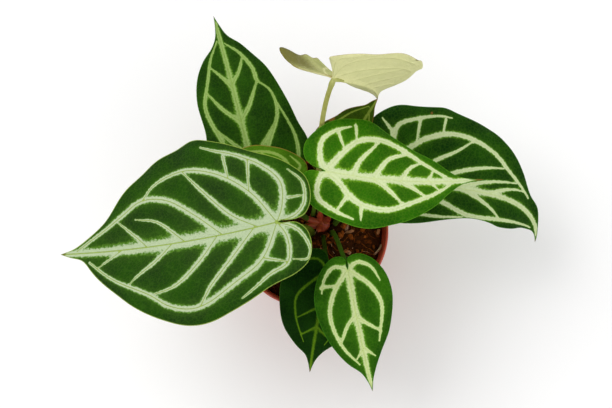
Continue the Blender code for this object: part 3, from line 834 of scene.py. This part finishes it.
broad = pattern(0.035, 2.0)
cloud = pattern(0.16, 3.0)
fine = pattern(0.5, 4.0, 0.65)
dust = pattern(2.4, 3.0)
cells = node(markings, "ShaderNodeTexVoronoi", feature="DISTANCE_TO_EDGE")
cells.inputs["Scale"].default_value = 0.42
markings.links.new(reads["flat"].outputs["Vector"], cells.inputs["Vector"])
netted = soft_step(markings, cells.outputs["Distance"], 0.02, 0.16)
uneven = sums("SUBTRACT", fine, 0.5)
wander = sums("ADD", times(uneven, 1.5), times(sums("SUBTRACT", cloud, 0.5), 0.5))
spread = sums("ADD", reads["band"].outputs["Fac"], wander)
silvered = soft_step(markings, spread, 0.7, 1.12)
fringed = times(soft_step(markings, spread, 0.95, 1.6), 0.85)
hazed = times(soft_step(markings, spread, 0.8, 3.4), given.outputs["Haze"])
threaded = times(near("thread", 0.4, 1.2), given.outputs["Thread"])
hemmed = near("rim", 0.1, 0.75)
mottle = sums("ADD", times(broad, 0.8), times(fine, 0.3))
lit = soft_step(markings, mottle, 0.38, 0.75)
colour = over(lit, given.outputs["Tissue"], "Shade")
colour = over(times(netted, 0.10), colour, "Fringe")
colour = over(hazed, colour, "Fringe")
colour = over(fringed, colour, "Fringe")
silvered = times(silvered, sums("ADD", 0.72, times(fine, 0.45)))
colour = over(silvered, colour, "Silver")
colour = over(threaded, colour, "Vein")
colour = over(hemmed, colour, "Margin")
back = over(times(cloud, 0.5), given.outputs["Back"], "Fringe")
back = over(times(threaded, 0.5), back, "Vein")
colour = blend_colours(markings, reads["under"].outputs["Fac"], colour, back)
# The dried colour goes over the patches: real dried tips and spots, and on the young leaf the painted
# shade of its left lobe.
brown_and_shaded = sums("ADD", reads["burnt_and_shaded"].outputs["Fac"], times(uneven, 0.7))
brown_and_shaded = sums("SUBTRACT", 1.0, soft_step(markings, brown_and_shaded, 0.2, 0.7))
colour = over(times(brown_and_shaded, 0.85), colour, "Dried_and_shaded")
stem_colour = over(cloud, given.outputs["Stalk"], "Tissue")
colour = blend_colours(markings, reads["stem"].outputs["Fac"], colour, stem_colour)
markings.links.new(colour, result.inputs["Colour"])
shine = sums("ADD", 0.46, times(fine, 0.24))
shine = sums("ADD", shine, times(silvered, 0.06))
markings.links.new(shine, result.inputs["Roughness"])
relief = sums("ADD", times(fine, 0.4), times(dust, 0.25))
relief = sums("SUBTRACT", relief, times(threaded, 0.4))
relief = sums("SUBTRACT", relief, times(netted, 0.35))
markings.links.new(relief, result.inputs["Height"])


def leaf_material(name, colours, haze, thread, dried_and_shaded=(122, 88, 44)):
    """The finish of one leaf: its colours, its pale haze, and how clear the thread-like vein
    is in the silver."""
    material, tree, shader = finish_material(name, 0.5)
    marks = node(tree, "ShaderNodeGroup")
    marks.node_tree = markings
    for title, value in zip(("Tissue", "Shade", "Silver", "Fringe", "Vein", "Margin", "Back",
                             "Stalk", "Dried_and_shaded"), (*colours, dried_and_shaded)):
        marks.inputs[title].default_value = (*tone(*value), 1.0)
    marks.inputs["Haze"].default_value = haze
    marks.inputs["Thread"].default_value = thread
    tree.links.new(marks.outputs["Colour"], shader.inputs["Base Color"])
    tree.links.new(marks.outputs["Roughness"], shader.inputs["Roughness"])
    bumps(tree, shader, marks.outputs["Height"], 0.0006)
    shader.inputs["Specular IOR Level"].default_value = 0.05
    return material


def grow_leaf(leaf, name, slot, material):
    """One leaf with its stalk, as one piece that stands for its CAD node."""
    blade = grow_blade(leaf, name + "_grown")
    stalk = grow_stalk(leaf, name + "_stalk")
    join(blade, [stalk])
    blade.data.materials.clear()
    blade.data.materials.append(material)
    adopt(blade, slot, name)


def both_sides(veins):
    """The veins of one half, and the same on the other half."""
    return veins + [(spread, tuple((-x, y) for x, y in points)) for spread, points in veins]


leaf_left_large = dict(
    place=(-23.8, -10.6, 192.0), length=168.6,
    heading=193.2, sweep=-15.7, hook=0.0, pitch=(-8.0, -24.0), roll=(0.0, 0.0),
    fold=(17.0, 7.0), droop=(-22.0, -26.0), ripple=1.5, waves=5.3, phase=0.4,
    left=((-1.4, -3), (-3.4, -13), (-11, -19.5), (-22, -21), (-33, -17), (-40, -6),
          (-46, 15), (-57, 40), (-62.3, 65), (-55, 87), (-43, 107), (-30, 123.4),
          (-15, 139.5), (-6, 149), (-3, 159.6)),
    right=((0.8, -3), (-0.8, -13), (1.7, -21.5), (11, -27.2), (25.9, -27.4), (38, -18.5),
           (48, -6), (60.3, 16), (72, 40), (75, 56), (70, 72), (60, 93), (47, 110),
           (27, 126.5), (11.7, 143), (3.9, 156)),
    root=(1.4, -0.8), lean=(-4, -2, 46), hang=(9, 3, -40), stalk=2.3,
    midrib=(5.2, 2.0), puff=0.5, browned_and_shaded=((0, 169, 9),),
    veins=[(2.6, ((0, 40), (18, 59), (32, 80), (34, 101), (24, 117), (9, 142), (2, 154))),
           (2.7, ((0, 0), (25, 14), (44, 37), (52, 66), (44, 90), (35, 99))),
           (2.2, ((0, 14), (12, 31), (31, 48), (51, 65))),
           (2.6, ((0, 0), (10, -6), (27, -9), (44, 3), (56, 22), (68, 49))),
           (1.7, ((0, 0), (2, -14), (9, -22), (23, -24), (35, -16))),
           (1.4, ((49, 12), (27, 15))), (1.4, ((57, 31), (40, 29))),
           (1.1, ((15, -12), (14, -22))), (1.5, ((0, 97), (8, 105), (20, 119))),
           (1.4, ((0, 68), (17, 88), (21, 105))),
           (1.8, ((0, 78), (-11, 89), (-22, 104), (-27, 109))),
           (2.2, ((0, 44), (-17, 58), (-32, 76), (-36, 91))),
           (2.3, ((0, 17), (-21, 37), (-38, 53), (-49, 60))),
           (2.6, ((0, 0), (-24, 14), (-36, 33), (-50, 63), (-46, 81), (-36, 95), (-23, 121),
                  (-8, 142))),
           (2, ((0, 0), (-13, -5), (-31, -2), (-37, 12), (-49, 32))),
           (1.5, ((0, 0), (-9, -13), (-25, -19), (-32, -16), (-30, -6))),
           (1.2, ((0, 117), (-13, 135))), (1.3, ((-24, 14), (-31, -2)))])
green_left = leaf_material(
    "leaf_left_silvered", ((36, 74, 4), (30, 54, 18), (182, 198, 160), (92, 136, 44), (140, 164, 58),
                           (150, 176, 74), (112, 140, 76), (112, 116, 36)), 0.14, 0.85,
    (104, 108, 34))
grow_leaf(leaf_left_large, "leaf_left_large", "leaf_green", green_left)

# The bright leaf right of the middle.
# A younger blade in a fresh green with whitish veins, its two halves dished down from the midrib.
# It ends in a thin drip tip whose end has dried brown.
leaf_right_upper = dict(
    place=(10.2, 28.8, 182.0), length=122.1,
    heading=-10.6, sweep=21.6, hook=0.0, pitch=(-4.0, -22.0), roll=(0.0, 0.0),
    fold=(14.0, 14.0), droop=(-30.0, -30.0), ripple=1.1, waves=4.2, phase=1.3,
    left=((-0.9, -3), (-2.3, -10), (-7, -16.3), (-16, -18.2), (-28, -12), (-38, -0.5),
          (-43, 16), (-42, 30), (-34, 46), (-24, 62), (-18, 77), (-9.2, 90.3),
          (-4, 100), (-1.4, 110.4)),
    right=((0.8, -3), (1.7, -10.7), (6, -15.5), (15, -16), (25, -8), (31, 4), (36, 20),
           (37.1, 36), (33, 51), (27, 66), (18, 81), (9.2, 92), (3.5, 101.5),
           (1, 110)),
    root=(12.8, 15.5), lean=(0, 2, 34), hang=(-3, -3, -30), stalk=2.0,
    midrib=(3, 1.5), puff=0.7, browned_and_shaded=((0, 122, 13),),
    veins=[(2.3, ((0, 0), (-17, 12), (-26, 22), (-28, 42), (-17, 66), (-8, 82), (-1, 95))),
           (2.1, ((0, 0), (-8, -5), (-22, -6), (-31, 3), (-36, 14))),
           (1.6, ((-31, 4), (-19, 11))), (1.6, ((-38, 18), (-26, 20))),
           (1.9, ((0, 20), (-11, 24), (-26, 37))), (1.9, ((0, 35), (-15, 46), (-19, 60))),
           (1.6, ((0, 56), (-9, 62), (-13, 70))), (1.4, ((0, 76), (-8, 81))),
           (2.3, ((0, 0), (6, 10), (19, 24), (23, 45), (17, 62), (9, 82), (1, 96))),
           (1.9, ((0, 34), (6, 44), (17, 56))), (2.1, ((0, 0), (8, -3), (20, -2), (28, 11), (32, 24))),
           (1.6, ((0, 53), (6, 65), (13, 75))), (1.4, ((0, 78), (7, 84))),
           (1.4, ((16, 18), (28, 12))), (1.4, ((21, 28), (32, 29)))])
green_right_upper = leaf_material(
    "leaf_right_upper_fresh", ((48, 106, 0), (36, 84, 0), (212, 224, 176), (122, 170, 44), (192, 210, 126),
                               (84, 142, 30), (118, 160, 74), (120, 148, 48)), 0.10, 0.4)
grow_leaf(leaf_right_upper, "leaf_right_upper", "leaf_green", green_right_upper)

# The large dark leaf at the right.
# An older blade that lies out over the rim, dark green with fine pale veins, and its long tip
# swings round to the front. It has one small dried spot.
leaf_right_lower = dict(
    place=(59.5, 42.4, 122.0), length=152.0,
    heading=-20.0, sweep=42.0, hook=-128.0, pitch=(8.0, -48.0), roll=(-8.0, 0.0),
    fold=(8.0, 12.0), droop=(-28.0, -28.0), ripple=1.2, waves=4.6, phase=2.2,
    left=((-0.8, -3), (-2.5, -12), (-9, -20), (-21, -25), (-33, -26), (-43, -21), (-52, -11),
          (-56.5, 6), (-59.5, 23), (-61, 38), (-56, 60), (-49, 81), (-41, 90), (-25, 103),
          (-12, 115), (-9, 123), (-4.5, 131), (-1.5, 139)),
    right=((0.8, -3), (2.5, -12), (9, -19), (20, -20), (31, -12), (36.5, 2), (36, 16),
           (32.5, 30), (26, 49), (22, 66), (22.5, 84), (23, 97), (20, 111), (9.5, 131),
           (3.5, 139.5)),
    root=(19.2, 6.9), lean=(6, 2, 12), hang=(-18, -9, -12), stalk=2.0,
    midrib=(2.6, 1.3), puff=0.6, browned_and_shaded=((-54, 22, 2.4), (0, 152, 5)),
    veins=[(1.8, ((0, 0), (-14, -4), (-29, -6), (-39, -18))),
           (2.0, ((0, 0), (-20, -3), (-37, -4), (-47, 11), (-53, 30), (-54, 43))),
           (2.4, ((0, 0), (-20, 9), (-34, 25), (-41, 49), (-34, 78), (-20, 95), (-9, 114))),
           (1.5, ((-47, 13), (-30, 15))), (1.4, ((-52, 37), (-40, 36))),
           (1.8, ((0, 18), (-16, 32), (-29, 52), (-37, 62))),
           (1.8, ((0, 38), (-10, 49), (-18, 71), (-22, 89))),
           (1.6, ((0, 52), (-8, 76), (-14, 100))), (1.4, ((0, 80), (-9, 100), (-11, 108))),
           (2.0, ((0, 0), (9, 20), (13, 43), (20, 66), (18, 92), (12, 118), (5, 134))),
           (1.7, ((0, 59), (10, 81), (18, 95))),
           (1.7, ((0, 0), (14, -2), (24, 12), (25, 38), (22, 61))),
           (1.5, ((0, 20), (7, 31), (13, 43)))])
green_right_lower = leaf_material(
    "leaf_right_lower_dark", ((32, 72, 2), (16, 50, 0), (200, 214, 164), (96, 144, 38), (186, 204, 126),
                              (60, 112, 20), (100, 138, 68), (100, 124, 42)), 0.10, 0.4)
grow_leaf(leaf_right_lower, "leaf_right_lower", "leaf_green", green_right_lower)

# The long leaf at the upper left.
# A dark blade behind the big one, pointing away, with thin light veins and a plain green back.
leaf_back_left = dict(
    place=(-40.2, 26.7, 142.0), length=146.9,
    heading=103.2, sweep=2.2, hook=0.0, pitch=(10.0, -22.0), roll=(0.0, 0.0),
    fold=(10.0, 10.0), droop=(-26.0, -26.0), ripple=1.2, waves=4.4, phase=0.9,
    left=((-0.8, -3), (-2, -10), (-8, -17), (-19, -19), (-29, -11), (-34, 3),
          (-33, 22), (-28.5, 46), (-29.3, 72), (-25.5, 91), (-17.5, 104.5),
          (-8.8, 115.2), (-3.5, 124.7), (-1, 137)),
    right=((0.8, -3), (2, -9), (9, -15), (20, -15.5), (30, -8), (38, 5), (46, 24),
           (41.5, 42), (38, 58), (34, 74), (27, 92), (16, 111), (6.6, 123), (2.5, 136)),
    root=(-0.9, 8.6), lean=(-5, 1, 20), hang=(16, -9, -18), stalk=2.0,
    midrib=(2.4, 1.2), puff=0.5, browned_and_shaded=((0, 147, 4),),
    veins=[(1.7, ((0, 51), (8, 60), (19, 79))), (1.5, ((19, 79), (18, 90), (12, 105), (3, 117))),
           (1.7, ((0, 0), (17, 30), (28, 51), (27, 69), (19, 79))),
           (1.7, ((0, 0), (20, -4), (34, 10), (37, 30), (30, 57))),
           (1.4, ((0, 81), (8, 91), (13, 102))), (1.5, ((0, 18), (12, 30), (25, 44))),
           (1.7, ((0, 50), (-11, 62), (-20, 78))),
           (1.7, ((0, 0), (-10, 18), (-20, 46), (-24, 67), (-17, 89), (-11, 106), (-3, 121))),
           (1.4, ((0, 78), (-7, 90), (-13, 99))), (1.5, ((0, 0), (-14, -6), (-26, 2), (-28, 24))),
           (1.5, ((0, 24), (-9, 34), (-20, 48)))])
green_back_left = leaf_material(
    "leaf_back_left_dark", ((36, 74, 4), (22, 50, 0), (146, 174, 98), (84, 128, 32), (122, 152, 62),
                              (64, 108, 24), (94, 128, 62), (100, 118, 42)), 0.08, 0.5)
grow_leaf(leaf_back_left, "leaf_back_left", "leaf_green", green_back_left)

# The low leaf at the back.
# A small old blade low under the bright one, dark olive, with a browned edge. Its tip stands
# clear of the bright blade, and the rest of it is hidden.
leaf_back_low = dict(
    place=(17.0, 45.5, 126.0), length=65.0,
    heading=55.0, sweep=4.0, hook=0.0, pitch=(12.0, -12.0), roll=(0.0, 0.0),
    fold=(10.0, 10.0), droop=(-24.0, -24.0), ripple=0.8, waves=3.2, phase=0.2,
    left=((-0.7, -2.5), (-1.8, -7), (-6, -9.5), (-13, -8.5), (-21, -2), (-26, 9), (-27, 18),
          (-24.5, 26), (-20, 34.5), (-16.5, 42), (-10, 50), (-5.5, 55), (-3, 60)),
    right=((0.7, -2.5), (1.8, -7), (5.5, -9), (11, -6.5), (14.5, 2), (15, 14),
           (13.5, 26), (9.5, 38), (4.5, 51), (1.8, 57)),
    root=(17.4, 11.9), lean=(0, 3, 10), hang=(0, -9, -8), stalk=1.6,
    midrib=(1.2, 0.7), puff=0.4, browned_and_shaded=((-26, 14, 7), (-22, 31, 5), (0, 65, 4)),
    veins=[(1, ((0, 0), (-12, 8), (-19, 20), (-13, 40), (-3, 55))),
           (0.8, ((0, 0), (-11, -4), (-18, 6))), (0.8, ((0, 12), (-9, 20), (-15, 29))),
           (0.8, ((0, 26), (-10, 37))), (1, ((0, 0), (8, 8), (11, 22), (7, 38), (1, 50))),
           (0.8, ((0, 0), (8, -3), (13, 6))), (0.8, ((0, 12), (6, 19), (11, 25))),
           (0.8, ((0, 26), (7, 37)))])
green_back_low = leaf_material(
    "leaf_back_low_olive", ((58, 84, 6), (36, 54, 2), (112, 132, 54), (82, 106, 22), (116, 132, 46),
                              (118, 96, 34), (94, 116, 56), (100, 110, 42)), 0.06, 0.5)
grow_leaf(leaf_back_low, "leaf_back_low", "leaf_green", green_back_low)

# The hidden leaf at the left.
# A small bright blade under the big one, of which only its upper edge shows from in front. It
# grows from the same crown on its own upright stalk.
leaf_hidden_left = dict(
    place=(-13.5, 30.0, 163.0), length=60.0,
    heading=166.0, sweep=0.0, hook=0.0, pitch=(2.0, -14.0), roll=(0.0, 0.0),
    fold=(8.0, 8.0), droop=(-20.0, -20.0), ripple=0.7, waves=3.0, phase=0.5,
    left=((-0.7, -2.5), (-1.8, -7), (-6, -10), (-13, -8), (-17.5, 1), (-18.5, 13),
          (-16, 29), (-9.5, 44), (-3, 54)),
    right=((0.7, -2.5), (1.8, -7), (6, -10), (12, -7), (16.5, 2), (18, 14),
           (16.5, 30), (10, 44), (3, 54)),
    root=(2.0, 13.5), lean=(4, 2, 60), hang=(14, -3, -7), stalk=1.6,
    midrib=(1.4, 0.8), puff=0.4, browned_and_shaded=(),
    veins=both_sides([(1.1, ((0, 0), (10, 8), (13, 21), (8, 39), (1, 50))),
                      (1, ((0, 0), (8, -4), (14, 5))), (1, ((0, 12), (7, 20), (12, 27))),
                      (1, ((0, 27), (8, 38)))]))
green_hidden = leaf_material(
    "leaf_hidden_bright", ((84, 128, 22), (62, 102, 14), (146, 174, 86), (108, 152, 46), (146, 172, 80),
                             (150, 118, 52), (108, 138, 68), (102, 120, 46)), 0.08, 0.5)
grow_leaf(leaf_hidden_left, "leaf_hidden_left", "leaf_green", green_hidden)

# The upper leaf in front.
# A smaller dark blade that leans out over the rim towards the front, with clear pale veins. It
# hangs from a thin stalk of its own.
leaf_front_upper = dict(
    place=(27.0, -37.7, 152.0), length=96.5,
    heading=-80.1, sweep=5.5, hook=0.0, pitch=(-12.0, -34.0), roll=(0.0, 0.0),
    fold=(12.0, 12.0), droop=(-26.0, -26.0), ripple=0.8, waves=3.6, phase=1.9,
    left=((-0.7, -2.5), (-0.7, -7.5), (-4.1, -9.7), (-11, -9.8), (-19.5, -4.5),
          (-27, 7), (-29.5, 20), (-27.5, 35), (-22.5, 49), (-13.2, 65.4), (-7, 76),
          (-2.8, 86)),
    right=((0.7, -2.5), (0.6, -7), (4.1, -10), (11, -9.4), (20.6, -0.7), (27, 12),
           (28.7, 24), (26.5, 40), (21.5, 55), (13, 69.5), (5, 79.5), (1.7, 88)),
    root=(16.6, -0.8), lean=(1, -4, 34), hang=(-3, 12, -8), stalk=1.7,
    midrib=(2.6, 1.3), puff=0.5, browned_and_shaded=((0, 97, 4),),
    veins=[(1.8, ((0, 0), (13, 15), (19, 31), (15, 54), (5, 72))), (1.5, ((0, 34), (8, 41), (15, 53))),
           (1.2, ((0, 61), (6, 67))), (1.5, ((0, 0), (10, -3), (18, 4), (22, 14))),
           (1.2, ((22, 10), (10, 10))),
           (1.8, ((0, 0), (-14, 14), (-20, 29), (-17, 44), (-13, 57))),
           (1.5, ((0, 36), (-16, 50))), (1.2, ((0, 59), (-8, 68))),
           (1.5, ((0, 0), (-8, -4), (-17, 1), (-22, 12)))])
green_front_upper = leaf_material(
    "leaf_front_upper_dark", ((46, 96, 6), (32, 72, 2), (202, 216, 154), (100, 152, 40), (178, 200, 106),
                              (60, 120, 24), (108, 142, 68), (72, 84, 20)), 0.10, 0.45)
grow_leaf(leaf_front_upper, "leaf_front_upper", "leaf_green", green_front_upper)

# The lower leaf in front.
# A dark blade partly under the last one, deep in the shade of the others, with thin veins. Its
# stalk is thin and short.
leaf_front_lower = dict(
    place=(13.0, -35.2, 128.0), length=80.6,
    heading=-103.2, sweep=5.6, hook=0.0, pitch=(-8.0, -34.0), roll=(0.0, 0.0),
    fold=(10.0, 10.0), droop=(-26.0, -26.0), ripple=0.8, waves=3.4, phase=0.7,
    left=((-0.7, -2.5), (-1.5, -8), (-7, -13), (-16, -12.5), (-25, -4), (-30, 9),
          (-30.5, 24), (-26, 39), (-17, 52.5), (-7.5, 62.5), (-2.8, 70)),
    right=((0.7, -2.5), (1.5, -9), (7, -14.5), (15.4, -13.5), (25, -6), (31.5, 6),
           (33, 18), (30, 34), (24, 48), (14, 58.5), (5.5, 65.5), (2.4, 72)),
    root=(9.9, -4.2), lean=(0, -3, 12), hang=(-1, 11, -9), stalk=1.6,
    midrib=(1.3, 0.8), puff=0.45, browned_and_shaded=((0, 80, 4),),
    veins=both_sides([(1, ((0, 0), (9, 9), (19, 23), (17, 37), (8, 56))),
                      (0.9, ((0, 27), (15, 38))), (0.9, ((0, 43), (11, 51))),
                      (1, ((0, 0), (9, -7), (20, -3), (27, 10)))]))
green_front_lower = leaf_material(
    "leaf_front_lower_dark", ((26, 62, 4), (12, 42, 0), (86, 124, 26), (52, 92, 12), (104, 138, 28),
                              (54, 96, 18), (90, 122, 58), (72, 84, 20)), 0.05, 0.6)
grow_leaf(leaf_front_lower, "leaf_front_lower", "leaf_green", green_front_lower)

# The pale young leaf at the back.
# The newest blade, still thin and creamy, which hangs with its underside to the camera. Its
# left lobe is painted a darker olive as painted shade, and its stalk is olive.
leaf_young_pale = dict(
    place=(15.1, 82.0, 238.0), length=110.2,
    heading=9.3, sweep=34.8, hook=0.0, pitch=(-52.2, -85.7), roll=(87.8, 59.4),
    fold=(22.2, 13.5), droop=(38.0, -21.1), ripple=0.8, waves=3.6, phase=2.6,
    left=((-0.8, -2.5), (-2.5, -9), (-10, -17), (-22, -20), (-33, -18), (-43.5, -13), (-42, 0),
          (-42, 16), (-43.5, 36), (-44, 56), (-42, 72), (-37, 84), (-29, 91), (-20, 92.5),
          (-11, 92), (-6, 93), (-3, 98)),
    right=((0.8, -2.5), (4, -6), (9.5, -14), (15, -23), (20.5, -30), (24, -23), (30, -16.5),
           (36, -11), (43, -1), (50, 9), (51.5, 20), (49, 33), (46, 46), (40, 61),
           (31, 77), (22, 87), (14, 90.5), (8, 91), (4.5, 92.5), (2, 99)),
    root=(7.2, 16.0), lean=(-2, 34, 46), hang=(-9, -6, -58), stalk=1.9,
    # The wide last patch over the left lobe is painted shade, a darker olive where the lobe faces away
    # from the light; the other two are a dried tip and a dried spot.
    midrib=(1.0, 0.6), puff=0.3, browned_and_shaded=((0, 112, 14), (52, 28, 6), (-40, -8, 44)),
    veins=both_sides([(1.0, ((0, 0), (16, 14), (30, 38), (32, 62), (14, 84))),
                      (0.9, ((0, 0), (18, -8), (34, 0), (44, 20), (41, 44))),
                      (0.8, ((0, 0), (9, -11), (20, -20), (30, -12))),
                      (0.8, ((0, 22), (14, 34), (30, 46))), (0.7, ((0, 44), (16, 60), (27, 66))),
                      (0.6, ((0, 64), (14, 80)))]))
# The last colour, a dull olive, is both the dried tip's colour and the painted shade on the left lobe.
pale_young = leaf_material(
    "leaf_young_cream", ((196, 198, 128), (168, 174, 98), (222, 222, 164), (196, 198, 128),
                         (190, 190, 104), (150, 124, 62), (236, 234, 176), (140, 136, 16)),
    0.3, 0.6, (104, 98, 28))
grow_leaf(leaf_young_pale, "leaf_young_pale", "leaf_young", pale_young)
